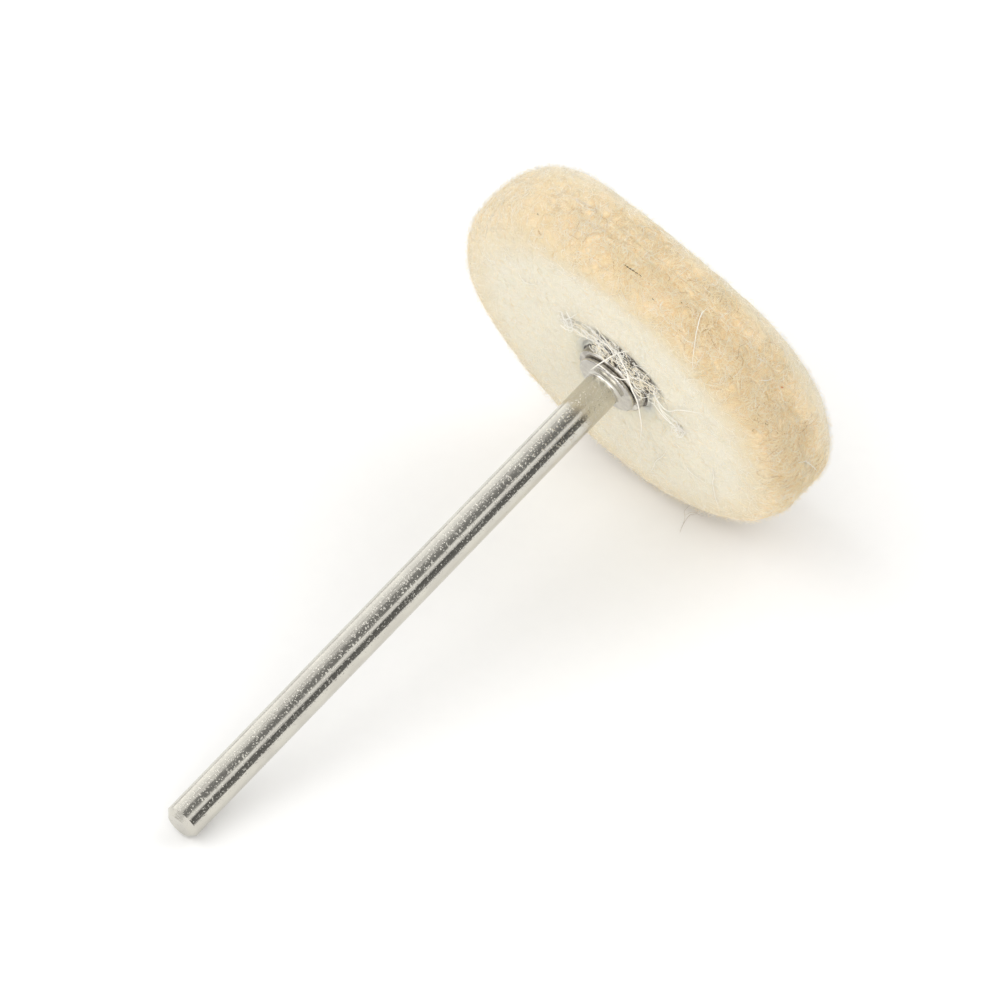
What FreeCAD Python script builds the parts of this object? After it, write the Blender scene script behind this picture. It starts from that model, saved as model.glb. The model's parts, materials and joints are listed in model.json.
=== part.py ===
import FreeCAD, Part
import math
import os

# A pressed wool felt polishing wheel, riveted on a nickel-plated mandrel for a rotary tool.
#
# Every piece is turned about the spindle, so each is drawn as a half section (radius, station) and
# revolved. A station is a distance along the spindle from the free end of the shank, in millimetres.
# The assembly is then laid down as it rests on a flat surface: on the rim of the wheel and on the
# free end of the shank. The finished frame has +Z up, the spindle in the YZ plane with the free end
# towards -Y, and its origin at the middle of the object's footprint, on the surface.

# Mandrel: a 3/32 inch pin with an upset flange and a turned-down spigot. The collar, the washers and
# the felt go on the spigot against the flange, and the spigot's tip is peened over the front washer.
SHANK_DIA = 2.35
SHANK_LENGTH = 38.3  # free end to the flange
END_CHAMFER = 0.35
FLANGE_DIA = 4.2
FLANGE_THICKNESS = 0.4
FLANGE_EDGE_ROUND = 0.18
FLANGE_FILLET = 0.2  # where the shank meets the flange
SPIGOT_DIA = 1.6
RIVET_HEAD_DIA = 3.0
RIVET_HEAD_HEIGHT = 0.6
RIVET_HEAD_EDGE = 0.2  # straight edge under the dome

# Collar: a thick ring between the flange and the rear washer.
COLLAR_DIA = 4.9
COLLAR_THICKNESS = 0.65
COLLAR_EDGE_ROUND = 0.15

# Washers: one on each side of the felt.
WASHER_DIA = 9.0
WASHER_THICKNESS = 0.4
WASHER_BORE_DIA = 1.7
WASHER_EDGE_ROUND = 0.12

# Wheel: a felt disc with soft corners, squeezed at the middle by the washers.
WHEEL_DIA = 26.0
WHEEL_THICKNESS = 6.0
WHEEL_CORNER_ROUND = 2.1
WEB_THICKNESS = 4.5  # between the washers
DIMPLE_CLEARANCE = 0.1  # around each washer
DIMPLE_LIP_ROUND = 0.5

# Stations along the spindle.
FLANGE_BACK = SHANK_LENGTH
COLLAR_BACK = FLANGE_BACK + FLANGE_THICKNESS
COLLAR_FRONT = COLLAR_BACK + COLLAR_THICKNESS
WEB_BACK = COLLAR_FRONT + WASHER_THICKNESS
WEB_FRONT = WEB_BACK + WEB_THICKNESS
RIVET_SEAT = WEB_FRONT + WASHER_THICKNESS
RIVET_TIP = RIVET_SEAT + RIVET_HEAD_HEIGHT
WHEEL_MIDDLE = (WEB_BACK + WEB_FRONT) / 2
WHEEL_BACK = WHEEL_MIDDLE - WHEEL_THICKNESS / 2
WHEEL_FRONT = WHEEL_MIDDLE + WHEEL_THICKNESS / 2


def half_section(start):
    """A new half section: its edges so far, and the point that the next edge starts from."""
    return {"edges": [], "first": start, "last": start}


def point(place):
    """The 3-D point of a (radius, station) pair."""
    radius, station = place
    return FreeCAD.Vector(radius, 0, station)


def line_to(section, place):
    section["edges"].append(Part.LineSegment(point(section["last"]), point(place)).toShape())
    section["last"] = place


def arc_to(section, centre, place):
    """An arc of a quarter turn or less about centre, from the section's last point to place."""
    start = point(section["last"])
    end = point(place)
    middle = point(centre)
    outward = (start - middle) + (end - middle)
    outward.normalize()
    crown = middle + outward * (start - middle).Length
    section["edges"].append(Part.Arc(start, crown, end).toShape())
    section["last"] = place


def revolved(section):
    """The closed section, turned once about the spindle."""
    line_to(section, section["first"])
    face = Part.Face(Part.Wire(section["edges"]))
    return face.revolve(FreeCAD.Vector(0, 0, 0), FreeCAD.Vector(0, 0, 1), 360)


def mandrel():
    """Shank, flange, spigot and peened head, in one piece of steel."""
    shank = SHANK_DIA / 2
    fillet = FLANGE_FILLET
    flange = FLANGE_DIA / 2
    edge = FLANGE_EDGE_ROUND
    spigot = SPIGOT_DIA / 2
    head = RIVET_HEAD_DIA / 2
    dome_base = RIVET_SEAT + RIVET_HEAD_EDGE
    dome_height = RIVET_TIP - dome_base
    dome_radius = (head**2 + dome_height**2) / (2 * dome_height)
    section = half_section((0, 0))
    line_to(section, (shank - END_CHAMFER, 0))
    line_to(section, (shank, END_CHAMFER))
    line_to(section, (shank, FLANGE_BACK - fillet))
    arc_to(section, (shank + fillet, FLANGE_BACK - fillet), (shank + fillet, FLANGE_BACK))
    line_to(section, (flange - edge, FLANGE_BACK))
    arc_to(section, (flange - edge, FLANGE_BACK + edge), (flange, FLANGE_BACK + edge))
    line_to(section, (flange, COLLAR_BACK - edge))
    arc_to(section, (flange - edge, COLLAR_BACK - edge), (flange - edge, COLLAR_BACK))
    line_to(section, (spigot, COLLAR_BACK))
    line_to(section, (spigot, RIVET_SEAT))
    line_to(section, (head, RIVET_SEAT))
    line_to(section, (head, dome_base))
    arc_to(section, (0, RIVET_TIP - dome_radius), (0, RIVET_TIP))
    return revolved(section)


def rear_collar():
    """A thick ring with rounded outer edges."""
    bore = SPIGOT_DIA / 2
    rim = COLLAR_DIA / 2
    edge = COLLAR_EDGE_ROUND
    section = half_section((bore, COLLAR_BACK))
    line_to(section, (rim - edge, COLLAR_BACK))
    arc_to(section, (rim - edge, COLLAR_BACK + edge), (rim, COLLAR_BACK + edge))
    line_to(section, (rim, COLLAR_FRONT - edge))
    arc_to(section, (rim - edge, COLLAR_FRONT - edge), (rim - edge, COLLAR_FRONT))
    line_to(section, (bore, COLLAR_FRONT))
    return revolved(section)


def washer(back, rounded_edge):
    """A flat washer from station back onwards; rounded_edge is the station of its outer face."""
    bore = WASHER_BORE_DIA / 2
    rim = WASHER_DIA / 2
    edge = WASHER_EDGE_ROUND
    front = back + WASHER_THICKNESS
    section = half_section((bore, back))
    if rounded_edge == back:
        line_to(section, (rim - edge, back))
        arc_to(section, (rim - edge, back + edge), (rim, back + edge))
        line_to(section, (rim, front))
    else:
        line_to(section, (rim, back))
        line_to(section, (rim, front - edge))
        arc_to(section, (rim - edge, front - edge), (rim - edge, front))
    line_to(section, (bore, front))
    return revolved(section)


def felt_wheel():
    """The felt disc: soft outer corners, and a dimple with a soft lip under each washer."""
    bore = SPIGOT_DIA / 2
    rim = WHEEL_DIA / 2
    corner = WHEEL_CORNER_ROUND
    dimple = WASHER_DIA / 2 + DIMPLE_CLEARANCE
    lip = DIMPLE_LIP_ROUND
    section = half_section((bore, WEB_BACK))
    line_to(section, (dimple, WEB_BACK))
    line_to(section, (dimple, WHEEL_BACK + lip))
    arc_to(section, (dimple + lip, WHEEL_BACK + lip), (dimple + lip, WHEEL_BACK))
    line_to(section, (rim - corner, WHEEL_BACK))
    arc_to(section, (rim - corner, WHEEL_BACK + corner), (rim, WHEEL_BACK + corner))
    line_to(section, (rim, WHEEL_FRONT - corner))
    arc_to(section, (rim - corner, WHEEL_FRONT - corner), (rim - corner, WHEEL_FRONT))
    line_to(section, (dimple + lip, WHEEL_FRONT))
    arc_to(section, (dimple + lip, WHEEL_FRONT - lip), (dimple, WHEEL_FRONT - lip))
    line_to(section, (dimple, WEB_FRONT))
    line_to(section, (bore, WEB_FRONT))
    return revolved(section)


def resting_tilt():
    """How steeply the spindle climbs when the object lies on a flat surface, in degrees.

    The surface goes through the outer edge of the shank's end chamfer and is tangent to the rounded
    corner of the wheel's back face.
    """
    run = WHEEL_BACK + WHEEL_CORNER_ROUND - END_CHAMFER
    drop = WHEEL_DIA / 2 - WHEEL_CORNER_ROUND - SHANK_DIA / 2
    towards_corner = math.atan2(drop, run)
    past_corner = math.asin(WHEEL_CORNER_ROUND / math.hypot(run, drop))
    return math.degrees(towards_corner + past_corner)


def laid_down(pieces):
    """The pieces as they lie on the surface, about the middle of their footprint."""
    tilt = FreeCAD.Rotation(FreeCAD.Vector(1, 0, 0), resting_tilt() - 90)
    for shape in pieces.values():
        shape.Placement = FreeCAD.Placement(FreeCAD.Vector(0, 0, 0), tilt)
    box = Part.makeCompound(list(pieces.values())).optimalBoundingBox(False, False)
    set_down = FreeCAD.Vector(-box.Center.x, -box.Center.y, -box.ZMin)
    for shape in pieces.values():
        shape.translate(set_down)
    return pieces


assembly = laid_down(
    {
        "mandrel": mandrel(),
        "rear_collar": rear_collar(),
        "rear_washer": washer(COLLAR_FRONT, COLLAR_FRONT),
        "felt_wheel": felt_wheel(),
        "front_washer": washer(WEB_FRONT, RIVET_SEAT),
    }
)

os.makedirs("parts", exist_ok=True)
for node, shape in assembly.items():
    shape.exportStep("parts/" + node + ".step")
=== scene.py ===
import bpy
import json
import math
import numpy as np
from mathutils import Matrix, Vector


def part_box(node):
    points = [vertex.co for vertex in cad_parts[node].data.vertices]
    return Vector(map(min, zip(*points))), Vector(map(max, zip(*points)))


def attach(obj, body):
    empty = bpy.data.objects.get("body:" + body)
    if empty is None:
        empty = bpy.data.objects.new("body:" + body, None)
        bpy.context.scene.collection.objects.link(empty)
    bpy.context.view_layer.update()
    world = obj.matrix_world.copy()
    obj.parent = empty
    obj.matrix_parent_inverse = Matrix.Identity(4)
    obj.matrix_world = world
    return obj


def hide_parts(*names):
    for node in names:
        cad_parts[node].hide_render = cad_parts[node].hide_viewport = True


# A felt polishing wheel on its mandrel, lying on a pale surface. The metal is the CAD model's own. The
# felt disc is modelled here, with a nap of separate fibres, around the CAD washers and collar.
#
# Wheel coordinates: radius and height in millimetres and phi in degrees. Height runs along the spindle
# from the wheel's middle, towards the front face. Phi is 90 on the side that faces the camera.

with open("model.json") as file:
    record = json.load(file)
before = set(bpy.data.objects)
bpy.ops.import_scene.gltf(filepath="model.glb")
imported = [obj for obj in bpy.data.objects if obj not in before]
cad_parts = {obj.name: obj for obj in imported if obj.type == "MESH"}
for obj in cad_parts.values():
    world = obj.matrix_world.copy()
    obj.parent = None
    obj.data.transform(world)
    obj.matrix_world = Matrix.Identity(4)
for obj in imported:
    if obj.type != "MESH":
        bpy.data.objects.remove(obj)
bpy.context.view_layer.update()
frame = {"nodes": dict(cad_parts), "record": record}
MM = 0.001


# ---------------------------------------------------------------- places

def direction(azimuth, elevation):
    """The unit vector from the object towards a viewer at this azimuth and elevation, in degrees."""
    a = math.radians(azimuth)
    e = math.radians(elevation)
    return Vector((math.sin(a) * math.cos(e), -math.cos(a) * math.cos(e), math.sin(e)))


def box_centre(node):
    low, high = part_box(node)
    return (low + high) / 2


CAMERA_AZIMUTH = 43.6
CAMERA_ELEVATION = 43.6
VIEWER = direction(CAMERA_AZIMUTH, CAMERA_ELEVATION)

shank = next(m for m in frame["record"]["mounts"] if m["name"] == "shank")
AXIS = -Vector(shank["axis"]).normalized()
HUB = box_centre("felt_wheel")
NEAR = (VIEWER - AXIS * VIEWER.dot(AXIS)).normalized()
SIDE = AXIS.cross(NEAR)
TILT = math.asin(AXIS.z)

# Radii, and heights from the wheel's middle plane, in millimetres.
WHEEL_RADIUS = 13.0
HALF_THICKNESS = 2.95
CORNER = 2.2  # radius of the wheel's rounded corners
WASHER_RADIUS = 4.5
WASHER_FACE = 2.65  # outer face of each washer
WEB_FACE = 2.25  # felt squeezed between the washers
BORE = 0.8
COLLAR_RADIUS = 2.45


def wheel_points(radius, phi, height):
    """Points in the frame, in metres, from arrays in wheel coordinates."""
    turn = np.radians(phi)
    out = np.multiply.outer(radius * np.cos(turn), SIDE)
    out = out + np.multiply.outer(radius * np.sin(turn), NEAR)
    out = out + np.multiply.outer(height + 0 * turn, AXIS)
    return np.array(HUB) + MM * out


# ---------------------------------------------------------------- camera

CAMERA_DISTANCE = 1.0
LENS = 598.4
SENSOR = 36.0

# Where the camera points, across and up in its view from the wheel's middle.
AIM_RIGHT = -8.71 * MM
AIM_UP = -9.37 * MM


def add_camera():
    """A long lens from far away, so that the view is almost parallel."""
    right = Vector((0, 0, 1)).cross(VIEWER).normalized()
    up = VIEWER.cross(right)
    data = bpy.data.cameras.new("camera")
    data.lens = LENS
    data.sensor_width = SENSOR
    data.clip_start = 0.01
    camera = bpy.data.objects.new("camera", data)
    aim = HUB + right * AIM_RIGHT + up * AIM_UP
    place = Matrix((right, up, VIEWER)).transposed().to_4x4()
    place.translation = aim + VIEWER * CAMERA_DISTANCE
    camera.matrix_world = place
    bpy.context.scene.collection.objects.link(camera)
    bpy.context.scene.camera = camera


# ---------------------------------------------------------------- node helpers

class Nodes:
    """A short way to build a node tree: add() makes a node, and links or sets its inputs."""

    def __init__(self, tree):
        self.tree = tree
        tree.nodes.clear()

    def add(self, kind, inputs=None, **settings):
        made = self.tree.nodes.new(kind)
        for name, value in settings.items():
            setattr(made, name, value)
        for name, value in (inputs or {}).items():
            if isinstance(value, bpy.types.NodeSocket):
                self.tree.links.new(value, made.inputs[name])
            else:
                made.inputs[name].default_value = value
        return made

    def math(self, operation, a, b=0.0):
        return self.add("ShaderNodeMath", {0: a, 1: b}, operation=operation).outputs[0]

    def minus(self, vector, fixed):
        made = self.add("ShaderNodeVectorMath", {0: vector, 1: tuple(fixed)}, operation="SUBTRACT")
        return made.outputs[0]

    def times(self, vector, fixed):
        made = self.add("ShaderNodeVectorMath", {0: vector, 1: tuple(fixed)}, operation="MULTIPLY")
        return made.outputs[0]

    def dot(self, vector, fixed):
        made = self.add("ShaderNodeVectorMath", {0: vector, 1: tuple(fixed)}, operation="DOT_PRODUCT")
        return made.outputs["Value"]

    def ramp(self, value, low, high, to_low=0.0, to_high=1.0):
        """value from low to high becomes to_low to to_high, smoothly, and stays there beyond."""
        made = self.add(
            "ShaderNodeMapRange",
            {"Value": value, "From Min": low, "From Max": high, "To Min": to_low, "To Max": to_high},
            interpolation_type="SMOOTHSTEP",
        )
        return made.outputs["Result"]

    def noise(self, vector, scale, detail=2.0, roughness=0.5, distortion=0.0):
        made = self.add(
            "ShaderNodeTexNoise",
            {
                "Vector": vector,
                "Scale": scale,
                "Detail": detail,
                "Roughness": roughness,
                "Distortion": distortion,
            },
        )
        return made.outputs["Fac"]

    def mix(self, factor, a, b):
        """Colour a where factor is 0 and b where it is 1."""
        made = self.add("ShaderNodeMix", {0: factor, 6: a, 7: b}, data_type="RGBA")
        return made.outputs[2]


def linear(red, green, blue):
    """A display colour, 0 to 255, as the linear colour that a shader takes."""
    def one(display):
        share = display / 255
        return share / 12.92 if share <= 0.04045 else ((share + 0.055) / 1.055) ** 2.4

    return (one(red), one(green), one(blue), 1.0)


# ---------------------------------------------------------------- studio

BRIGHTNESS = 0.97
HORIZON_LIGHT = 0.8
OVERHEAD_LIGHT = 0.25
BACKDROP = 1.1  # what the camera sees behind the floor
FLOOR_RADIUS = 1.6
FLOOR_SIDES = 96

# Round soft boxes in the world, each as an azimuth and an elevation, the angles from its middle within
# which it is at full strength and past which there is none, all in degrees, and a strength.
SOFT_BOXES = (
    (-98, 34, 20, 28, 0.75),
    (-40, 55, 12, 34, 2.2),
    (185, 55, 15, 36, 0.8),
    (40, 38, 12, 40, 1.7),
    (148, 38, 12, 38, 1.4),
    (60, 14, 10, 32, 1.1),
)
DARK_CARD = (100, 13, 25, 37, 0.76)  # what the shank's dark band reflects
STRIP_LIGHT = (98, 47, 6, 15, 0.75)  # the bright streak in that band


def add_studio():
    """A pale floor, and soft boxes of light far away in the world, over a plain bright surround."""
    world = bpy.data.worlds.new("studio")
    bpy.context.scene.world = world
    world.use_nodes = True
    n = Nodes(world.node_tree)
    towards = n.add("ShaderNodeTexCoord").outputs["Generated"]

    def box(azimuth, elevation, inner, outer, strength):
        near_middle = n.dot(towards, direction(azimuth, elevation))
        edge = math.cos(math.radians(outer))
        full = math.cos(math.radians(inner))
        return n.ramp(near_middle, edge, full, 0, strength)

    light = n.ramp(n.dot(towards, (0, 0, 1)), 0.1, 0.95, HORIZON_LIGHT, OVERHEAD_LIGHT)
    for soft_box in SOFT_BOXES:
        light = n.math("ADD", light, box(*soft_box))
    light = n.math("MULTIPLY", light, n.math("SUBTRACT", 1.0, box(*DARK_CARD)))
    light = n.math("ADD", light, box(*STRIP_LIGHT))
    light = n.math("MULTIPLY", light, BRIGHTNESS)
    lit = n.add("ShaderNodeBackground", {"Color": (1.0, 0.995, 0.985, 1), "Strength": light})
    seen = n.add("ShaderNodeBackground", {"Color": (1, 1, 1, 1), "Strength": BACKDROP})
    direct = n.add("ShaderNodeLightPath").outputs["Is Camera Ray"]
    both = n.add("ShaderNodeMixShader", {0: direct, 1: lit.outputs[0], 2: seen.outputs[0]})
    n.add("ShaderNodeOutputWorld", {"Surface": both.outputs[0]})
    add_floor()
    bpy.context.scene.view_settings.view_transform = "Standard"
    bpy.context.scene.view_settings.look = "None"


def add_floor():
    """A wide round sheet of white paper, lying where the CAD says the surface is."""
    edge = []
    for k in range(FLOOR_SIDES):
        turn = math.tau * k / FLOOR_SIDES
        edge.append((FLOOR_RADIUS * math.cos(turn), FLOOR_RADIUS * math.sin(turn), 0))
    mesh = bpy.data.meshes.new("floor")
    mesh.from_pydata(edge, [], [list(range(FLOOR_SIDES))])
    floor = bpy.data.objects.new("floor", mesh)
    bpy.context.scene.collection.objects.link(floor)
    paper = bpy.data.materials.new("paper")
    paper.use_nodes = True
    n = Nodes(paper.node_tree)
    grain = n.noise(n.add("ShaderNodeTexCoord").outputs["Object"], 900, 3)
    shader = n.add(
        "ShaderNodeBsdfPrincipled",
        {
            "Base Color": n.mix(grain, (0.83, 0.83, 0.828, 1), (0.85, 0.85, 0.848, 1)),
            "Roughness": 0.7,
            "Specular IOR Level": 0.1,
        },
    )
    n.add("ShaderNodeOutputMaterial", {"Surface": shader.outputs[0]})
    mesh.materials.append(paper)


# ---------------------------------------------------------------- metal

PIT_DEPTH = 0.02 * MM
PITS = 8000  # how fine each pattern is, in cells per metre
GRAIN = 4600
SCRATCHES = 9000
DRAWN = (1, 0.03, 1)  # lines drawn out along the spindle
STREAKED = (1, 0.25, 1)  # patches drawn out along the spindle


def nickel(name, bright, dull, rough, pitting, scratching, mottle, dull_from=None):
    """Nickel plate, from bright to dull in patches.

    pitting and scratching are the strengths of its pits and of its lines along the spindle, mottle is
    how fine the patches are, and past the height dull_from it is mostly dull.
    """
    made = bpy.data.materials.new(name)
    made.use_nodes = True
    n = Nodes(made.node_tree)
    place = n.add("ShaderNodeTexCoord").outputs["Object"]
    levelled = n.add("ShaderNodeVectorRotate", {"Vector": place, "Angle": -TILT}, rotation_type="X_AXIS")
    level = levelled.outputs[0]
    grain = n.noise(place, GRAIN, 2, 0.5)
    pits = n.ramp(n.noise(place, PITS, 2, 0.5), 0.56, 0.76)
    lines = n.noise(n.times(level, DRAWN), SCRATCHES, 2, 0.5)
    tarnish = n.ramp(n.noise(place, mottle, 3), 0.35, 0.65)
    if dull_from is not None:
        height = n.dot(n.minus(place, HUB), AXIS / MM)
        patch = n.ramp(n.noise(n.times(level, STREAKED), 2600, 3), 0.35, 0.62, 0.25, 1.0)
        dulled = n.math("MULTIPLY", patch, n.ramp(height, dull_from - 0.15, dull_from))
        tarnish = n.math("MAXIMUM", n.math("MULTIPLY", tarnish, 0.3), dulled)
    relief = n.math("ADD", n.math("MULTIPLY", pits, pitting), n.math("MULTIPLY", lines, scratching))
    bump = n.add("ShaderNodeBump", {"Height": relief, "Strength": 1.0, "Distance": PIT_DEPTH})
    uneven = n.math("ADD", n.math("MULTIPLY", grain, 0.5), n.math("MULTIPLY", lines, 0.5))
    shader = n.add(
        "ShaderNodeBsdfPrincipled",
        {
            "Base Color": n.mix(tarnish, (*bright, 1), (*dull, 1)),
            "Metallic": 1.0,
            "Roughness": n.ramp(uneven, 0.35, 0.65, rough, rough + 0.06),
            "Normal": bump.outputs[0],
        },
    )
    n.add("ShaderNodeOutputMaterial", {"Surface": shader.outputs[0]})
    return made


def finish_metal():
    """The nickel of each CAD node. The rear washer's plate is painted dark, as painted shade for the gap
    that it sits in.
    """
    plate = (0.65, 0.63, 0.565)
    greyed = (0.48, 0.455, 0.42)
    polished = (0.72, 0.69, 0.645)
    tarnished = (0.36, 0.335, 0.30)
    hazed = (0.52, 0.49, 0.45)
    dark = (0.20, 0.18, 0.155)
    gap_shade_black = (0.10, 0.09, 0.075)
    finishes = {
        "mandrel": nickel("nickel_shank", plate, greyed, 0.09, 0.38, 0.2, 700, -3.65),
        "rear_collar": nickel("nickel_collar", polished, tarnished, 0.1, 0.25, 0.1, 1500),
        # Painted shade: the rear washer's dark plate stands for the shade in the gap around it.
        "rear_washer": nickel("nickel_washer_rear_painted_shade", dark, gap_shade_black, 0.3, 1.0, 0.2, 2000),
        "front_washer": nickel("nickel_washer_front", plate, hazed, 0.16, 0.35, 0.2, 700),
    }
    for node, material in finishes.items():
        slots = frame["nodes"][node].material_slots
        if not slots:
            frame["nodes"][node].data.materials.append(material)
        for slot in slots:
            slot.material = material


# ---------------------------------------------------------------- felt surface

def smooth_step(x, low, high):
    u = np.clip((x - low) / (high - low), 0, 1)
    return u * u * (3 - 2 * u)


def lumps(u, v, around, along, seed):
    """Smooth random values from -1 to 1 at (u, v), both 0 to 1, with this many cells.

    u closes on itself.
    """
    values = np.random.default_rng(seed).uniform(-1, 1, (around, along + 2))
    x = (u % 1) * around
    y = np.clip(v, 0, 1) * along
    i = np.floor(x).astype(int)
    j = np.floor(y).astype(int)
    fx = x - i
    fy = y - j
    fx = fx * fx * (3 - 2 * fx)
    fy = fy * fy * (3 - 2 * fy)
    low = values[i % around, j] * (1 - fx) + values[(i + 1) % around, j] * fx
    high = values[i % around, j + 1] * (1 - fx) + values[(i + 1) % around, j + 1] * fx
    return low * (1 - fy) + high * fy


def around_angle(phi, middle, width):
    """1 where phi is middle, down to nothing a few widths away, all in degrees."""
    away = (phi - middle + 180) % 360 - 180
    return np.exp(-((away / width) ** 2))


def stretch(start, end, count):
    """count steps from start up to, and not with, end, along the last axis."""
    u = np.arange(count) / count
    return start[:, None] * (1 - u) + end[:, None] * u


WALL_GAP = 0.06  # between the felt and a washer's edge
SKIN_GAP = 0.01  # between the felt's skin and a washer's face
LIP_REACH = 0.05  # the skin's rounded edge, across and up
LIP_RISE = 0.08
LIP_TOP = WASHER_FACE + 0.09

# How the surface swells and sinks: how far, its cells around and along, and a seed.
SWELLS = ((0.10, 9, 8, 11), (0.06, 26, 22, 12), (0.035, 90, 60, 13), (0.02, 220, 110, 14))

# Small pits beside the hub, each as a radius and a phi.
HUB_PITS = ((5.1, 20), (4.65, 159))
PIT_SINK = 0.28
PIT_SIZE = 0.36


class Felt:
    """The felt's surface as a grid: phi around, and along from the rear bore over the rim to the front."""

    AROUND = 440
    STEPS = {"web": 4, "wall": 3, "under": 4, "edge": 4, "face": 46, "corner": 24, "rim": 14}

    def __init__(self):
        phi = np.arange(self.AROUND) * 360 / self.AROUND
        rear_r, rear_h = self.half(phi, self.rear_opening(phi), 0 * phi + HALF_THICKNESS, rear=True)
        front_r, front_h = self.half(phi, self.front_opening(phi), self.front_thickness(phi))
        radius = np.hstack([rear_r, front_r[:, ::-1]])
        height = np.hstack([-rear_h, front_h[:, ::-1]])
        along = np.linspace(0, 1, radius.shape[1])
        u, v = np.meshgrid(phi / 360, along, indexing="ij")
        self.skin = self.exposure(radius.shape[1])
        swell = sum(depth * lumps(u, v, *cells) for depth, *cells in SWELLS) * self.skin
        out_r = np.gradient(height, axis=1)
        out_h = -np.gradient(radius, axis=1)
        size = np.hypot(out_r, out_h) + 1e-9
        self.radius = radius + swell * out_r / size
        self.height = height + swell * out_h / size
        self.points = wheel_points(self.radius, phi[:, None] + 0 * radius, self.height)

    def rear_opening(self, phi):
        """How far from the spindle the felt's skin ends over the rear washer."""
        open_side = smooth_step(np.sin(np.radians(phi)), 0.55, 0.92)
        ragged = 0.12 * lumps(phi / 360, 0 * phi, 40, 1, 21) + 0.08 * lumps(phi / 360, 0 * phi, 90, 1, 22)
        return 2.62 + 1.75 * open_side + ragged * (0.3 + 0.7 * open_side)

    def front_opening(self, phi):
        """How far from the spindle the felt's skin ends over the front washer."""
        ragged = 0.05 * lumps(phi / 360, 0 * phi, 30, 1, 23) + 0.04 * lumps(phi / 360, 0 * phi, 110, 1, 24)
        return 4.2 + ragged

    def front_thickness(self, phi):
        """The front face bows in on the side where the felt was cut thin."""
        return HALF_THICKNESS + 0.25 - 0.8 * around_angle(phi, 105, 36)

    def rim_radius(self, phi):
        """The disc was cut a little out of round."""
        out_of_round = 0.12 * around_angle(phi, 143, 14) - 0.38 * around_angle(phi, 175, 22)
        return WHEEL_RADIUS + out_of_round + 0.2 * around_angle(phi, 212, 20)

    def half(self, phi, opening, thick, rear=False):
        """One side's profile, as radius and distance from the middle plane, from the bore to mid rim."""
        one = np.ones_like(phi)
        wall = WASHER_RADIUS + WALL_GAP
        skin = WASHER_FACE + SKIN_GAP
        flat = (self.rim_radius(phi) - CORNER)[:, None]
        lip = opening[:, None]
        web_r = stretch(BORE * one, wall * one, self.STEPS["web"])
        web_h = 0 * web_r + WEB_FACE
        wall_r = stretch(wall * one, wall * one, self.STEPS["wall"])
        wall_h = stretch(WEB_FACE * one, skin * one, self.STEPS["wall"])
        under_r = stretch(wall * one, opening, self.STEPS["under"])
        under_h = 0 * under_r + skin
        turn = np.arange(self.STEPS["edge"]) / self.STEPS["edge"] * math.pi / 2
        edge_r = lip - LIP_REACH * np.sin(turn)
        edge_h = skin + LIP_RISE * (1 - np.cos(turn)) + 0 * edge_r
        u = (np.arange(self.STEPS["face"]) / self.STEPS["face"]) ** 1.25
        face_r = (lip - LIP_REACH) * (1 - u) + flat * u
        rise = smooth_step(face_r, lip - 0.3, lip + 1.3)
        face_h = LIP_TOP + (HALF_THICKNESS - LIP_TOP) * rise
        face_h = face_h + (thick[:, None] - HALF_THICKNESS) * smooth_step(face_r, 5.0, flat)
        if rear:
            face_h = face_h - self.dents(phi, face_r)
        bend = np.arange(self.STEPS["corner"]) / self.STEPS["corner"] * math.pi / 2
        corner_r = flat + CORNER * np.sin(bend)
        corner_h = thick[:, None] - CORNER + CORNER * np.cos(bend)
        rim_h = stretch(thick - CORNER, 0 * one, self.STEPS["rim"])
        rim_r = 0 * rim_h + flat + CORNER
        return (
            np.hstack([web_r, wall_r, under_r, edge_r, face_r, corner_r, rim_r]),
            np.hstack([web_h, wall_h, under_h, edge_h, face_h, corner_h, rim_h]),
        )

    def dents(self, phi, face_r):
        """How far the rear face sinks: in a crease, towards the washer, and in the pits beside the hub."""
        beside = np.sin(np.radians(phi))[:, None]
        crease = smooth_step(beside, -0.05, 0.15) * smooth_step(-beside, -0.9, -0.5)
        sink = 0.14 * crease * np.exp(-((face_r - 4.55) / 0.24) ** 2)
        sink = sink + 0.12 * smooth_step(-face_r, -4.8, -4.3) * smooth_step(beside, -0.9, 0.2)
        for middle_r, middle_phi in HUB_PITS:
            apart = middle_r * np.radians((phi - middle_phi + 180) % 360 - 180)[:, None]
            distance = np.hypot(face_r - middle_r, 0.8 * apart)
            sink = sink + PIT_SINK * np.exp(-((distance / PIT_SIZE) ** 2))
        return sink

    def exposure(self, count):
        """0 where the felt is against metal, 1 where it is free."""
        hidden = sum(self.STEPS[k] for k in ("web", "wall", "under", "edge"))
        j = np.minimum(np.arange(count), count - 1 - np.arange(count))
        return smooth_step(j.astype(float), hidden, hidden + 10)


def mesh_object(name, vertices, faces, materials, face_material=None, normals=None):
    """A smooth-shaded mesh object from arrays. All its faces have the same number of corners."""
    mesh = bpy.data.meshes.new(name)
    corners = faces.shape[1]
    mesh.vertices.add(len(vertices))
    mesh.vertices.foreach_set("co", vertices.astype(np.float32).ravel())
    mesh.loops.add(faces.size)
    mesh.loops.foreach_set("vertex_index", faces.astype(np.int32).ravel())
    mesh.polygons.add(len(faces))
    mesh.polygons.foreach_set("loop_start", np.arange(0, faces.size, corners, dtype=np.int32))
    for material in materials:
        mesh.materials.append(material)
    if face_material is not None:
        mesh.polygons.foreach_set("material_index", face_material.astype(np.int32))
    mesh.polygons.foreach_set("use_smooth", np.ones(len(faces), bool))
    mesh.update(calc_edges=True)
    mesh.validate()
    if normals is not None:
        mesh.normals_split_custom_set_from_vertices(normals.astype(np.float32))
    made = bpy.data.objects.new(name, mesh)
    bpy.context.scene.collection.objects.link(made)
    return made


BAND_MIDDLE = -0.75  # height of the middle of the tan band
BAND_FACING = 66  # phi where the band is strongest
BAND_EDGE = (11.2, 12.4)  # radii between which the band fades in

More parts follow.
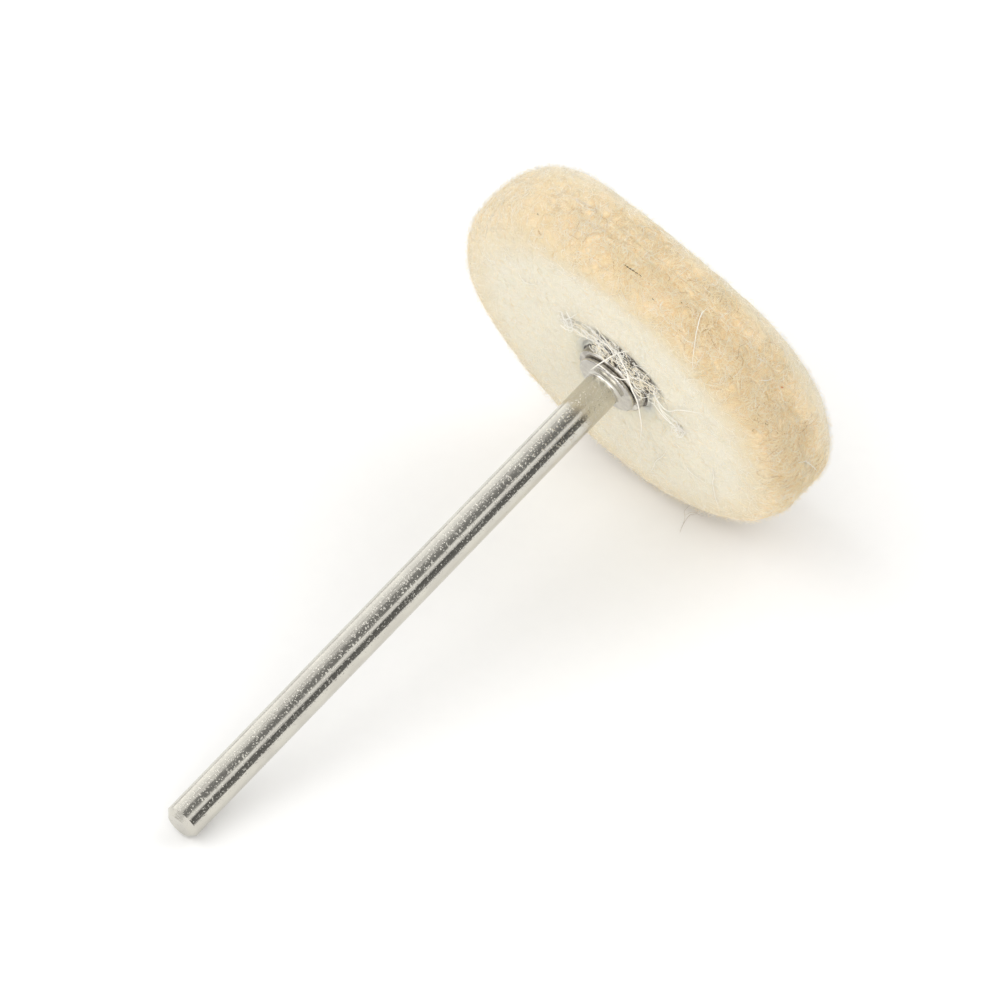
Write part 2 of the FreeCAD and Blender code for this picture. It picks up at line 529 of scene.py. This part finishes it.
FELT_WHITE = (219, 212, 191)
FELT_CREAM = ((214, 199, 167), (208, 190, 154))
FELT_TAN = ((245, 219, 177), (236, 206, 159))
# The colour of the painted shadow between the felt's strands.
FELT_STRAND_SHADOW = (196, 158, 108)


def felt_material():
    """Wool felt: white on the faces, cream at the corners, and a tan, coarser band round the rim."""
    made = bpy.data.materials.new("wool_felt")
    made.use_nodes = True
    n = Nodes(made.node_tree)
    place = n.add("ShaderNodeTexCoord").outputs["Object"]
    from_middle = n.minus(place, HUB)
    height = n.dot(from_middle, AXIS / MM)
    across = n.dot(from_middle, SIDE / MM)
    near = n.dot(from_middle, NEAR / MM)
    radius = n.math("SQRT", n.math("ADD", n.math("POWER", across, 2.0), n.math("POWER", near, 2.0)))
    wander = n.math("SUBTRACT", n.noise(place, 420, 4, 0.6), 0.5)
    away = n.math("ABSOLUTE", n.math("SUBTRACT", height, BAND_MIDDLE))
    border = n.math("ADD", away, n.math("MULTIPLY", wander, 2.6))
    band = n.math("MULTIPLY", n.ramp(border, 2.9, 0.7), n.ramp(radius, *BAND_EDGE))
    facing = n.math("ADD", n.math("MULTIPLY", near, 0.91), n.math("MULTIPLY", across, 0.41))
    band = n.math("MULTIPLY", band, n.ramp(n.math("DIVIDE", facing, radius), 0.1, 0.8, 0.3, 1.0))
    cream = n.mix(n.noise(place, 300, 3), *(linear(*shade) for shade in FELT_CREAM))
    inward = n.math("MAXIMUM", n.math("SUBTRACT", height, 0.6), n.math("SUBTRACT", 12.4, radius))
    pale = n.mix(n.ramp(n.math("ADD", inward, wander), 3.6, 0.2), linear(*FELT_WHITE), cream)
    tan = n.mix(n.noise(place, 900, 4, 0.65), *(linear(*shade) for shade in FELT_TAN))
    colour = n.mix(band, pale, tan)
    # Painted shade: the felt darkens towards a shadow colour in a pattern of strands, as shadow between
    # them, most of it in the tan band.
    strands = n.noise(place, 3500, 3, 0.7, 1.5)
    shadowed = n.math("MULTIPLY", n.ramp(strands, 0.45, 0.75, 0, 0.35), n.math("ADD", band, 0.12))
    colour = n.mix(shadowed, colour, linear(*FELT_STRAND_SHADOW))
    relief = n.math("ADD", strands, n.noise(place, 8000, 2))
    bump = n.add("ShaderNodeBump", {"Height": relief, "Strength": 0.6, "Distance": 0.03 * MM})
    shader = n.add(
        "ShaderNodeBsdfPrincipled",
        {
            "Base Color": colour,
            "Roughness": 0.95,
            "Specular IOR Level": 0.12,
            "Sheen Weight": 0.15,
            "Sheen Roughness": 0.6,
            "Subsurface Weight": 0.6,
            "Subsurface Radius": (1.0, 0.8, 0.6),
            "Subsurface Scale": 0.4 * MM,
            "Normal": bump.outputs[0],
        },
    )
    n.add("ShaderNodeOutputMaterial", {"Surface": shader.outputs[0]})
    return made


def add_felt_body(felt):
    around, along = felt.radius.shape
    i, j = np.meshgrid(np.arange(around), np.arange(along), indexing="ij")
    at = i * along + j
    ahead = ((i + 1) % around) * along + j
    quads = np.stack([at[:, :-1], at[:, 1:], ahead[:, 1:], ahead[:, :-1]], axis=-1)
    closing = np.stack([at[:, -1], at[:, 0], ahead[:, 0], ahead[:, -1]], axis=-1)
    faces = np.vstack([quads.reshape(-1, 4), closing])
    body = mesh_object("felt_body", felt.points.reshape(-1, 3), faces, [felt_material()])
    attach(body, "root")
    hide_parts("felt_wheel")
    return body


# ---------------------------------------------------------------- fibres

WOOL = {
    "white": (250, 246, 236),
    "cream": (248, 237, 212),
    "straw": (250, 231, 190),
    "tan": (240, 208, 154),
    "brown": (196, 160, 114),
    "dark": (70, 52, 36),
    "russet": (196, 116, 78),
    "smoke": (190, 182, 172),
}


def wool(shade):
    """One shade of fibre. A fibre is far thinner than any pattern on it, so each has one colour."""
    made = bpy.data.materials.get("fibre_" + shade)
    if made is None:
        made = bpy.data.materials.new("fibre_" + shade)
        made.use_nodes = True
        n = Nodes(made.node_tree)
        shader = n.add(
            "ShaderNodeBsdfPrincipled",
            {"Base Color": linear(*WOOL[shade]), "Roughness": 0.75, "Specular IOR Level": 0.15},
        )
        n.add("ShaderNodeOutputMaterial", {"Surface": shader.outputs[0]})
    return made


def unit(vectors):
    return vectors / (np.linalg.norm(vectors, axis=-1, keepdims=True) + 1e-12)


SKYWARD = np.array([0, 0, 0.9])

# A fibre's thickness from end to end, as a share of its full thickness.
TAPER = (0.45, 0.9, 1.0, 1.0, 0.85, 0.7, 0.35)

RIDGE = 0.7  # how far a fibre stands up from its path, for its width


def add_fibres(name, paths, thickness, shades, shade_of, up, lit_as=None):
    """Fibres as closed three-sided tubes. paths is fibres x points x 3, in metres, thickness in mm.

    Wool fibres glow through, so a fibre of the nap is shaded with the direction lit_as, between the
    felt under it and the light above, and not as a solid rod.
    """
    count, points, _ = paths.shape
    along = unit(np.gradient(paths, axis=1))
    out = unit(np.cross(up[:, None, :], along))
    over = np.cross(along, out)
    taper = np.interp(np.linspace(0, 1, points), np.linspace(0, 1, len(TAPER)), TAPER)
    reach = (thickness * MM / 2)[:, None] * taper
    rings = []
    for corner in range(3):
        turn = math.tau * (corner / 3 + 0.25)
        side = math.cos(turn) * out + RIDGE * math.sin(turn) * over
        rings.append(paths + side * reach[..., None])
    vertices = np.stack(rings, axis=2).reshape(-1, 3)
    at = np.arange(count * points * 3).reshape(count, points, 3)
    here = at[:, :-1]
    there = at[:, 1:]
    turned_here = np.roll(here, -1, axis=2)
    turned_there = np.roll(there, -1, axis=2)
    walls = np.stack(
        [
            np.stack([here, turned_here, turned_there], axis=-1),
            np.stack([here, turned_there, there], axis=-1),
        ],
        axis=-2,
    ).reshape(count, -1, 3)
    start = at[:, :1, ::-1].reshape(count, 1, 3)
    end = at[:, -1:, :].reshape(count, 1, 3)
    triangles = np.concatenate([walls, start, end], axis=1)
    material = np.repeat(shade_of, triangles.shape[1])
    normals = None
    if lit_as is not None:
        normals = np.repeat(lit_as.reshape(-1, 3), 3, axis=0)
    finishes = [wool(shade) for shade in shades]
    made = mesh_object(name, vertices, triangles.reshape(-1, 3), finishes, material, normals)
    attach(made, "root")
    return made


class Surface:
    """Places on the felt's grid, as fractional steps around and along it."""

    def __init__(self, felt):
        self.points = felt.points
        self.radius = felt.radius
        around = np.roll(felt.points, -1, axis=0) - np.roll(felt.points, 1, axis=0)
        along = np.gradient(felt.points, axis=1)
        self.normals = unit(np.cross(along, around))
        self.step_around = np.linalg.norm(around, axis=2) / 2 / MM
        self.step_along = np.linalg.norm(along, axis=2) / MM + 1e-6
        self.area = self.step_around * self.step_along

    def at(self, grid, u, v):
        """grid's value between its rows and columns."""
        rows, columns = grid.shape[:2]
        v = np.clip(v, 0, columns - 1.001)
        i = np.floor(u).astype(int)
        j = np.floor(v).astype(int)
        fu = u - i
        fv = v - j
        if grid.ndim == 3:
            fu = fu[..., None]
            fv = fv[..., None]
        low = grid[i % rows, j] * (1 - fu) + grid[(i + 1) % rows, j] * fu
        high = grid[i % rows, j + 1] * (1 - fu) + grid[(i + 1) % rows, j + 1] * fu
        return low * (1 - fv) + high * fv

    def roots(self, random, count, weight):
        """Random places, evenly spread over the area times weight."""
        share = (self.area * weight).ravel()
        cell = random.choice(share.size, count, p=share / share.sum())
        u = cell // self.area.shape[1] + random.random(count)
        v = cell % self.area.shape[1] + random.random(count)
        return u, v

    def crawl(self, random, u, v, length, points, curl, jitter):
        """Paths over the surface: u and v at each point, as fibres x points."""
        count = len(u)
        heading = random.uniform(0, math.tau, count)
        bend = random.normal(0, curl, count)
        step = length / (points - 1)
        us = [u]
        vs = [v]
        for _ in range(points - 1):
            heading = heading + bend + random.normal(0, jitter, count)
            u = u + np.cos(heading) * step / self.at(self.step_around, us[-1], vs[-1])
            v = v + np.sin(heading) * step / self.at(self.step_along, us[-1], vs[-1])
            us.append(u)
            vs.append(v)
        return np.stack(us, axis=1), np.stack(vs, axis=1)

    def lifted(self, u, v, lift):
        """Points lift mm above the felt."""
        return self.at(self.points, u, v) + unit(self.at(self.normals, u, v)) * (lift * MM)[..., None]


def tan_share(felt):
    """How tan and coarse the felt is at each place on the grid, from 0 to 1."""
    around, along = felt.radius.shape
    u, v = np.meshgrid(np.arange(around) / around, np.linspace(0, 1, along), indexing="ij")
    wander = 0.5 * lumps(u, v, 30, 20, 31) + 0.4 * lumps(u, v, 80, 50, 32)
    border = np.abs(felt.height - BAND_MIDDLE) + 1.3 * wander
    facing = 0.3 + 0.7 * smooth_step(np.cos(math.tau * u - math.radians(BAND_FACING)), 0.1, 0.8)
    return facing * smooth_step(-border, -2.8, -0.8) * smooth_step(felt.radius, *BAND_EDGE)


def pick_shades(random, tan, pale_odds, tan_odds):
    """One shade number for each fibre, from odds that go from pale to tan."""
    share = tan[:, None]
    odds = np.array(pale_odds) * (1 - share) + np.array(tan_odds) * share
    total = np.cumsum(odds, axis=1) / odds.sum(axis=1, keepdims=True)
    return (random.random(len(tan))[:, None] > total).sum(axis=1).clip(0, len(pale_odds) - 1)


NAP_SHADES = ("white", "cream", "straw", "tan", "brown")
NAP_LAYERS = 4
CURLS = 3600  # in each layer
CURL_POINTS = 7
FUZZ = 7500  # in each layer
FUZZ_POINTS = 4


def add_nap(felt, surface):
    """The nap: curls that lie on the felt, and a short fuzz that stands out from it."""
    free = felt.skin[None, :] * np.ones_like(felt.radius)
    tan = tan_share(felt)
    for k in range(NAP_LAYERS):
        add_curls(f"nap_curls_{k + 1}", surface, tan, free, np.random.default_rng(100 + k))
    for k in range(NAP_LAYERS):
        add_fuzz(f"nap_fuzz_{k + 1}", surface, tan, free, np.random.default_rng(200 + k))


def add_curls(name, surface, tan, free, random):
    u, v = surface.roots(random, CURLS, free * (0.12 + 1.1 * tan ** 1.4))
    length = random.uniform(0.35, 1.5, CURLS)
    us, vs = surface.crawl(random, u, v, length, CURL_POINTS, 0.32, 0.3)
    here = surface.at(tan, u, v)
    rise = random.uniform(0.01, 0.07, CURLS) * (0.5 + 1.3 * here)
    along = np.linspace(0, 1, CURL_POINTS)
    lift = rise[:, None] * (np.sin(math.pi * along) + 0.35 * along) - 0.015
    paths = surface.lifted(us, vs, lift)
    middle = CURL_POINTS // 2
    up = unit(surface.at(surface.normals, us[:, middle], vs[:, middle]))
    shade = pick_shades(random, here, (30, 45, 20, 5, 0), (1, 27, 46, 24, 2))
    lit_as = unit(surface.at(surface.normals, us, vs) + SKYWARD)
    thickness = random.uniform(0.016, 0.03, CURLS) * (0.8 + 0.4 * here)
    add_fibres(name, paths, thickness, NAP_SHADES, shade, up, lit_as)


def add_fuzz(name, surface, tan, free, random):
    u, v = surface.roots(random, FUZZ, free * (0.7 + 0.6 * (surface.radius > 11.5)))
    length = random.uniform(0.15, 0.5, FUZZ)
    us, vs = surface.crawl(random, u, v, length, FUZZ_POINTS, 0.25, 0.2)
    along = np.linspace(0, 1, FUZZ_POINTS)
    lift = random.uniform(0.04, 0.36, FUZZ)[:, None] * along ** 0.8 - 0.02
    paths = surface.lifted(us, vs, lift)
    chord = unit(paths[:, -1] - paths[:, 0])
    up = unit(np.cross(chord, random.normal(0, 1, (FUZZ, 3))))
    here = surface.at(tan, u, v)
    shade = pick_shades(random, here, (45, 40, 15, 0, 0), (4, 42, 42, 12, 0))
    lit_as = unit(surface.at(surface.normals, us, vs) + SKYWARD)
    thickness = random.uniform(0.009, 0.016, FUZZ)
    add_fibres(name, paths, thickness, NAP_SHADES, shade, up, lit_as)


def smooth_line(knots, count):
    """count points on a smooth curve through the knots (Catmull-Rom)."""
    knots = np.array(knots, float)
    padded = np.vstack([2 * knots[0] - knots[1], knots, 2 * knots[-1] - knots[-2]])
    t = np.linspace(0, len(knots) - 1, count)
    i = np.minimum(t.astype(int), len(knots) - 2)
    f = (t - i)[:, None]
    a, b, c, d = (padded[i + k] for k in range(4))
    return b + 0.5 * f * (c - a + f * (2 * a - 5 * b + 4 * c - d + f * (3 * (b - c) + d - a)))


def from_hub(places):
    """Points in the frame from (across, near, height) triples about the wheel's middle, in mm."""
    places = np.asarray(places, float)
    return np.array(HUB) + MM * (places @ np.array([SIDE, NEAR, AXIS]))


# Loose fibres at the hub, and a tuft at the wheel's lowest edge, each as a shade, a thickness and the
# places that it passes, in millimetres: across, towards the side that faces the camera, and along the
# spindle. Most places here and in SURFACE_HAIRS were worked out by a separate program, from spots picked
# by eye, so neither table is a list chosen by hand.
HUB_STRANDS = [
    ("white", 0.090, [(-2.1, 4.4, -3.0), (-1.3, 4.6, -3.2), (-0.6, 5.2, -3.5), (0.3, 5.1, -3.8),
                      (1.2, 4.1, -4.0), (2.0, 3.1, -4.0), (2.8, 1.4, -4.0), (3.3, -0.5, -3.8),
                      (3.8, -3.0, -3.6)]),
    ("white", 0.090, [(-1.3, 1.0, -3.9), (-1.1, 3.0, -3.6), (-0.8, 5.1, -3.3), (-0.4, 6.2, -3.15)]),
    ("white", 0.070, [(2.2, 4.6, -3.3), (2.8, 3.8, -3.3), (3.7, 3.4, -3.2), (4.2, 5.1, -3.2),
                      (5.3, 7.3, -3.1)]),
    ("white", 0.050, [(2.2, 4.6, -3.3), (3.4, 2.8, -3.2), (4.3, 3.0, -3.2), (5.2, 2.5, -3.15)]),
    ("white", 0.065, [(-1.8, 1.8, -3.1), (-2.0, 3.9, -3.2), (-1.6, 4.7, -3.3), (-1.0, 4.5, -3.4),
                      (-0.7, 3.7, -3.5)]),
    ("white", 0.065, [(-0.6, 2.4, -3.8), (0.0, 2.9, -3.8), (0.5, 3.0, -3.6), (0.9, 4.1, -3.4),
                      (1.7, 4.4, -3.2), (2.2, 3.7, -3.1)]),
    ("white", 0.065, [(-5.0, 2.5, -3.1), (-4.6, 2.0, -3.1), (-3.9, 1.4, -3.1)]),
    ("white", 0.065, [(-4.8, 3.3, -3.1), (-4.2, 2.9, -3.2), (-3.7, 1.5, -3.1)]),
    ("white", 0.065, [(-4.5, 0.7, -3.1), (-4.1, 0.8, -3.1), (-3.7, 1.5, -3.1)]),
    ("cream", 0.040, [(4.4, 1.2, -3.1), (4.5, -1.1, -3.0), (4.8, -2.9, -3.0)]),
    ("white", 0.060, [(2.7, 2.3, -3.10), (3.4, 2.1, -3.15), (4.1, 2.1, -3.20), (4.9, 2.3, -3.15)]),
    ("white", 0.055, [(2.9, 2.9, -3.15), (3.6, 2.5, -3.20), (4.3, 2.3, -3.20), (5.0, 2.0, -3.15)]),
    ("white", 0.055, [(-4.0, 1.9, -3.15), (-3.3, 2.4, -3.20), (-2.6, 3.0, -3.25), (-2.0, 3.6, -3.20)]),
    ("white", 0.055, [(-4.2, 4.8, -3.2), (-4.5, 2.5, -3.3), (-4.9, 2.9, -3.2), (-5.2, 2.1, -3.1)]),
    ("smoke", 0.045, [(9.4, -8.2, -4.3), (9.2, -7.8, -3.9), (9.1, -7.6, -3.3), (9.3, -8.0, -2.8),
                      (9.2, -8.3, -2.2)]),
    ("smoke", 0.045, [(8.9, -7.5, -3.5), (9.1, -7.0, -3.2), (9.6, -6.9, -3.0), (9.8, -6.3, -2.9),
                      (9.8, -5.6, -2.7)]),
    ("smoke", 0.040, [(9.3, -7.9, -4.1), (9.0, -7.6, -3.6), (8.7, -7.6, -3.3), (8.7, -7.2, -2.8)]),
]

# Hairs on the rim and the rear face, each as a shade, a thickness, how far it stands off, and the
# places that it passes, as phi and millimetres along the felt's profile from mid rim to the rear.
SURFACE_HAIRS = [
    ("dark", 0.075, 0.06, [(109.5, 1.55), (106.3, 1.5), (102.9, 1.45)]),
    ("dark", 0.060, 0.05, [(141.0, 1.7), (140.2, 1.75)]),
    ("brown", 0.050, 0.05, [(138.0, 2.6), (136.8, 2.8)]),
    ("dark", 0.050, 0.05, [(97.5, 2.0), (96.4, 2.05)]),
    ("dark", 0.050, 0.05, [(91.2, 1.0), (90.4, 1.05)]),
    ("brown", 0.060, 0.05, [(86.5, 2.3), (85.0, 2.3)]),
    ("dark", 0.050, 0.05, [(49.0, 1.7), (48.0, 1.6)]),
    ("dark", 0.050, 0.05, [(48.9, 2.5), (47.9, 2.6)]),
    ("russet", 0.110, 0.05, [(54.5, -0.4), (53.7, -0.5)]),
    ("white", 0.060, 0.15, [(85.0, 0.0), (85.1, 0.65), (84.0, 1.2), (80.5, 2.2), (74.7, 3.6)]),
    ("white", 0.050, 0.12, [(60.6, 0.5), (58.8, 0.0), (58.2, -0.5)]),
    ("white", 0.050, 0.15, [(29.4, 0.95), (24.4, 0.1), (8.0, -1.2)]),
    ("white", 0.050, 0.10, [(168.0, 6.1), (169.1, 6.6), (167.8, 7.0), (158.0, 7.3)]),
    ("white", 0.050, 0.10, [(-17.2, 7.8), (-15.3, 7.2), (-13.4, 6.4)]),
    ("white", 0.050, 0.12, [(9.3, 7.0), (-8.9, 6.0), (-21.2, 4.3)]),
    ("white", 0.045, 0.10, [(-24.2, 9.2), (-42.6, 7.8), (-54.4, 5.6)]),
]

STRAND_POINTS = 60  # along each of these

# The way that the gap at the hub faces, as one row. The fibres in it are lit from there.
OPEN_SIDE = np.array([(NEAR - AXIS).normalized()])


def shade_numbers(table, shades):
    """The place in shades of each entry's shade."""
    return np.array([shades.index(entry[0]) for entry in table])


def add_hub_strands():
    shades = ("white", "cream", "smoke")
    paths = from_hub([smooth_line(places, STRAND_POINTS) for _, _, places in HUB_STRANDS])
    thickness = np.array([entry[1] for entry in HUB_STRANDS])
    up = np.repeat(OPEN_SIDE, len(paths), axis=0)
    lit_as = np.broadcast_to(OPEN_SIDE, paths.shape)
    add_fibres("hub_strands", paths, thickness, shades, shade_numbers(HUB_STRANDS, shades), up, lit_as)


def add_surface_hairs(surface):
    """Hairs that lie on the felt. The grid's row at mid rim is where the profile's distance is 0."""
    rows, columns = surface.radius.shape
    travelled = np.cumsum(surface.step_along[:, ::-1], axis=1)[:, ::-1]
    offset = travelled - travelled[:, columns // 2][:, None]
    paths = []
    normals = []
    for _, _, stand, places in SURFACE_HAIRS:
        line = smooth_line(places, STRAND_POINTS)
        u = line[:, 0] / 360 * rows
        row = np.round(u).astype(int) % rows
        v = np.array([np.interp(-d, -offset[i], np.arange(columns)) for i, d in zip(row, line[:, 1])])
        lift = stand * np.sin(math.pi * np.linspace(0.08, 1, STRAND_POINTS))
        paths.append(surface.lifted(u, v, lift))
        normals.append(unit(surface.at(surface.normals, u, v)))
    shades = ("white", "dark", "brown", "russet")
    thickness = np.array([entry[1] for entry in SURFACE_HAIRS])
    lit_as = np.array(normals)
    add_fibres(
        "surface_hairs", np.array(paths), thickness, shades, shade_numbers(SURFACE_HAIRS, shades),
        lit_as[:, 0], lit_as,
    )


TANGLE = 210
TANGLE_POINTS = 9
TANGLE_INSIDE = COLLAR_RADIUS + 0.1  # the tangle keeps outside the collar

KNOTS = ((4.85, 1.9), (-4.3, 1.7))  # the middle of each, across and near
KNOT_FIBRES = 18
KNOT_POINTS = 9


def add_hub_tangle():
    """Curly fibres that bridge the gap between the felt's lip and the collar, over the washer."""
    random = np.random.default_rng(301)
    heading = random.uniform(0, math.tau, TANGLE)
    phi = np.radians(random.uniform(48, 140, TANGLE))
    radius = random.uniform(2.9, 4.7, TANGLE)
    across = radius * np.cos(phi)
    near = radius * np.sin(phi)
    bend = random.normal(0, 0.5, TANGLE)
    step = random.uniform(0.7, 2.0, TANGLE) / (TANGLE_POINTS - 1)
    rise = random.uniform(0.02, 0.30, TANGLE)
    line = []
    for k in range(TANGLE_POINTS):
        drape = 3.2 - 0.28 * smooth_step(np.hypot(across, near), 2.5, 4.7)
        height = drape + 0.5 * rise * math.sin(math.pi * (0.1 + 0.8 * k / (TANGLE_POINTS - 1)))
        line.append(np.stack([across, near, -height], axis=-1))
        heading = heading + bend + random.normal(0, 0.25, TANGLE)
        across = across + np.cos(heading) * step
        near = near + np.sin(heading) * step
        distance = np.hypot(across, near)
        push = np.where(distance < TANGLE_INSIDE, TANGLE_INSIDE / (distance + 1e-9), 1.0)
        across = across * push
        near = near * push
    paths = from_hub(np.stack(line, axis=1))
    up = np.repeat(OPEN_SIDE, TANGLE, axis=0)
    lit_as = np.broadcast_to(OPEN_SIDE, paths.shape)
    shade = random.integers(0, 3, TANGLE)
    thickness = random.uniform(0.03, 0.055, TANGLE)
    add_fibres("hub_tangle", paths, thickness, ("white", "white", "cream"), shade, up, lit_as)


def add_knots():
    """Small loops of fibre in the gap's two corners, beside the collar."""
    for k, (across, near) in enumerate(KNOTS):
        random = np.random.default_rng(401 + k)
        turned = np.linspace(0, 1, KNOT_POINTS) * 3.6
        turn = random.uniform(0, math.tau, KNOT_FIBRES)[:, None] + turned
        wide = random.uniform(0.15, 0.5, KNOT_FIBRES)[:, None]
        deep = random.uniform(0.15, 0.6, KNOT_FIBRES)[:, None]
        middle = random.normal(0, 0.22, (2, KNOT_FIBRES))
        x = across + middle[0][:, None] + wide * np.cos(turn)
        y = near + middle[1][:, None] + deep * np.sin(turn)
        sunk = random.uniform(-0.1, 0.25, KNOT_FIBRES)[:, None]
        z = -HALF_THICKNESS - sunk + 0.12 * np.sin(2 * turn)
        paths = from_hub(np.stack([x, y, z], axis=-1))
        up = np.repeat(OPEN_SIDE, KNOT_FIBRES, axis=0)
        lit_as = np.broadcast_to(OPEN_SIDE, paths.shape)
        thickness = random.uniform(0.03, 0.045, KNOT_FIBRES)
        white = np.zeros(KNOT_FIBRES, int)
        add_fibres(f"hub_knot_{k + 1}", paths, thickness, ("white",), white, up, lit_as)


# ---------------------------------------------------------------- build

add_camera()
add_studio()
finish_metal()
felt = Felt()
add_felt_body(felt)
surface = Surface(felt)
add_nap(felt, surface)
add_hub_strands()
add_surface_hairs(surface)
add_hub_tangle()
add_knots()

bpy.context.view_layer.update()
